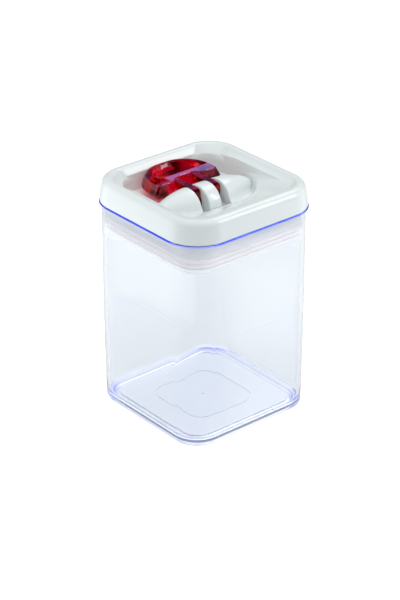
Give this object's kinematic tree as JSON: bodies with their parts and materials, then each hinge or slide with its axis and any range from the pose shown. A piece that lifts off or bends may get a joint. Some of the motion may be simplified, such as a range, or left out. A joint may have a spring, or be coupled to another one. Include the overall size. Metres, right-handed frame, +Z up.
{
  "type": "food canister",
  "caption": "Square clear food canister with a rounded-edge lift-off lid whose flip lever squeezes a soft seal against the inside of the walls.",
  "frame": {"origin": "centre of the base, on the surface the canister stands on", "axes": "+Z up through the lid; +X along the lever's axle; +Y towards the finger ring of the closed lever"},
  "size_m": [0.108, 0.108, 0.1577],
  "materials": {
    "clear_wall": "clear glossy moulded plastic, faint blue at the edges",
    "white_shell": "glossy warm white moulded plastic",
    "white_insert": "satin white moulded plastic",
    "plate_clear": "clear moulded plastic",
    "seal_silicone": "soft translucent silicone",
    "red_clear": "transparent deep red moulded plastic",
    "axle_steel": "ground steel pin",
    "screw_steel": "stainless steel"
  },
  "bodies": {
    "container": {"container_body": "clear_wall"},
    "lid": {"lid_cover": "white_shell", "lid_plug": "white_insert", "lever_axle": "axle_steel", "seal_ring": "seal_silicone"},
    "lever": {"lever": "red_clear"},
    "draw": {"draw_strap": "white_shell", "seal_plate": "plate_clear", "strap_screws": "screw_steel", "screw_cap": "plate_clear"}
  },
  "joints": [
    {"name": "lid_lift", "type": "slide", "parent": "container", "child": "lid", "axis": [0, 0, 1], "range_m": [0, 0.06]},
    {"name": "lever_flip", "type": "hinge", "parent": "lid", "child": "lever", "pos_m": [0, 0, 0.142], "axis": [1, 0, 0], "range_deg": [0, 90]},
    {"name": "plate_drop", "type": "slide", "parent": "lid", "child": "draw", "axis": [0, 0, -1], "range_m": [0, 0.0025], "deforming": ["seal_ring"]}
  ],
  "couplings": [
    {"joint": "plate_drop", "follows": "lever_flip", "m_per_rad": 0.0015915}
  ]
}
